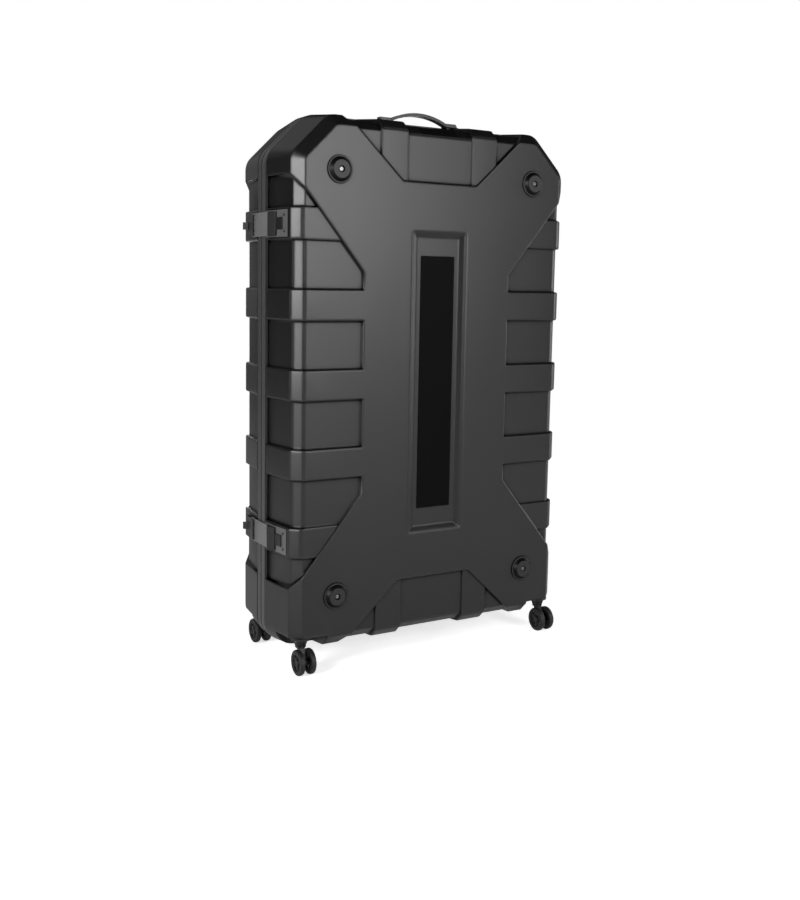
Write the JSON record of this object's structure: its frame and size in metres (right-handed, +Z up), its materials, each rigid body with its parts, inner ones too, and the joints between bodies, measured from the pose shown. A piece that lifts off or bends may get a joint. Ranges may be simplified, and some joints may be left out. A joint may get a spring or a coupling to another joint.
{
  "type": "bike travel case",
  "caption": "Tall hard-shell travel case for a packed bicycle: ribbed halves on side hinges, draw latches, carry handle, bumper feet, padded lining and swivelling twin-wheel casters.",
  "frame": {"origin": "on the floor under the middle of the case, in the plane of the seam between the halves", "axes": "+X to the hinge side, +Y from the front half to the rear half, +Z up"},
  "size_m": [0.8289, 0.3545, 1.3545],
  "materials": {
    "shell": "satin, fine grain",
    "rim": "satin",
    "rubber": "matt",
    "trim": "satin",
    "plate": "gloss, bare",
    "latch": "satin",
    "bail_metal": "satin grey",
    "steel": "bright",
    "hinge_metal": "satin black",
    "foam": "brushed cloth over foam",
    "webbing": "woven",
    "buckle": "satin",
    "caster_plastic": "satin",
    "axle_steel": "turned",
    "tyre": "matt"
  },
  "bodies": {
    "rear_half": {"rear_shell": "shell", "rear_rim": "rim", "rim_seal": "rubber", "rear_feet": "rubber", "rear_foot_screws": "steel", "upper_latch_base": "latch", "lower_latch_base": "latch", "latch_pins": "steel", "latch_screws": "steel", "rear_hinge_leaves": "hinge_metal", "rear_hinge_screws": "steel", "hinge_pins": "steel", "rear_pad": "foam", "tie_straps": "webbing", "tie_buckles": "buckle", "tie_anchors": "buckle", "rear_left_caster_mount": "caster_plastic", "rear_right_caster_mount": "caster_plastic", "rear_caster_screws": "steel"},
    "front_half": {"front_shell": "shell", "front_rim": "rim", "front_feet": "rubber", "front_foot_screws": "steel", "label_plate": "plate", "badge_plate": "plate", "left_handle_cap": "trim", "right_handle_cap": "trim", "handle_screws": "steel", "upper_catch": "latch", "lower_catch": "latch", "catch_plates": "bail_metal", "catch_screws": "steel", "front_hinge_leaves": "hinge_metal", "front_hinge_screws": "steel", "front_pad": "foam", "front_left_caster_mount": "caster_plastic", "front_right_caster_mount": "caster_plastic", "front_caster_screws": "steel"},
    "handle": {"handle_strap": "rubber"},
    "upper_lever": {"upper_latch_lever": "latch"},
    "upper_bail": {"upper_latch_bail": "bail_metal"},
    "lower_lever": {"lower_latch_lever": "latch"},
    "lower_bail": {"lower_latch_bail": "bail_metal"},
    "front_left_fork": {"front_left_caster_fork": "caster_plastic"},
    "front_left_wheels": {"front_left_caster_axle": "axle_steel", "front_left_caster_hubs": "caster_plastic", "front_left_caster_tyres": "tyre"},
    "front_right_fork": {"front_right_caster_fork": "caster_plastic"},
    "front_right_wheels": {"front_right_caster_axle": "axle_steel", "front_right_caster_hubs": "caster_plastic", "front_right_caster_tyres": "tyre"},
    "rear_left_fork": {"rear_left_caster_fork": "caster_plastic"},
    "rear_left_wheels": {"rear_left_caster_axle": "axle_steel", "rear_left_caster_hubs": "caster_plastic", "rear_left_caster_tyres": "tyre"},
    "rear_right_fork": {"rear_right_caster_fork": "caster_plastic"},
    "rear_right_wheels": {"rear_right_caster_axle": "axle_steel", "rear_right_caster_hubs": "caster_plastic", "rear_right_caster_tyres": "tyre"}
  },
  "joints": [
    {"name": "lid_hinge", "type": "hinge", "parent": "rear_half", "child": "front_half", "pos_m": [0.411, 0, 0.692], "axis": [0, 0, 1], "range_deg": [0, 175]},
    {"name": "handle_lean", "type": "hinge", "parent": "front_half", "child": "handle", "pos_m": [0, -0.041, 1.3325], "axis": [1, 0, 0], "range_deg": [-20, 20]},
    {"name": "upper_lever_hinge", "type": "hinge", "parent": "rear_half", "child": "upper_lever", "pos_m": [-0.4056, 0.034, 1.065], "axis": [0, 0, 1], "range_deg": [0, 110]},
    {"name": "upper_bail_hinge", "type": "hinge", "parent": "upper_lever", "child": "upper_bail", "pos_m": [-0.40385, 0.0489, 1.065], "axis": [0, 0, 1], "range_deg": [-112, 2]},
    {"name": "lower_lever_hinge", "type": "hinge", "parent": "rear_half", "child": "lower_lever", "pos_m": [-0.4056, 0.034, 0.319], "axis": [0, 0, 1], "range_deg": [0, 110]},
    {"name": "lower_bail_hinge", "type": "hinge", "parent": "lower_lever", "child": "lower_bail", "pos_m": [-0.40385, 0.0489, 0.319], "axis": [0, 0, 1], "range_deg": [-112, 2]},
    {"name": "front_left_swivel", "type": "hinge", "parent": "front_half", "child": "front_left_fork", "pos_m": [-0.356, -0.133, 0.066], "axis": [0, 0, 1], "continuous": true},
    {"name": "front_left_roll", "type": "hinge", "parent": "front_left_fork", "child": "front_left_wheels", "pos_m": [-0.356, -0.152, 0.031], "axis": [1, 0, 0], "continuous": true},
    {"name": "front_right_swivel", "type": "hinge", "parent": "front_half", "child": "front_right_fork", "pos_m": [0.356, -0.133, 0.066], "axis": [0, 0, 1], "continuous": true},
    {"name": "front_right_roll", "type": "hinge", "parent": "front_right_fork", "child": "front_right_wheels", "pos_m": [0.356, -0.152, 0.031], "axis": [1, 0, 0], "continuous": true},
    {"name": "rear_left_swivel", "type": "hinge", "parent": "rear_half", "child": "rear_left_fork", "pos_m": [-0.356, 0.133, 0.066], "axis": [0, 0, 1], "continuous": true},
    {"name": "rear_left_roll", "type": "hinge", "parent": "rear_left_fork", "child": "rear_left_wheels", "pos_m": [-0.356, 0.114, 0.031], "axis": [1, 0, 0], "continuous": true},
    {"name": "rear_right_swivel", "type": "hinge", "parent": "rear_half", "child": "rear_right_fork", "pos_m": [0.356, 0.133, 0.066], "axis": [0, 0, 1], "continuous": true},
    {"name": "rear_right_roll", "type": "hinge", "parent": "rear_right_fork", "child": "rear_right_wheels", "pos_m": [0.356, 0.114, 0.031], "axis": [1, 0, 0], "continuous": true}
  ],
  "couplings": [
    {"joint": "upper_bail_hinge", "follows": "upper_lever_hinge", "ratio": -1},
    {"joint": "lower_bail_hinge", "follows": "lower_lever_hinge", "ratio": -1}
  ]
}
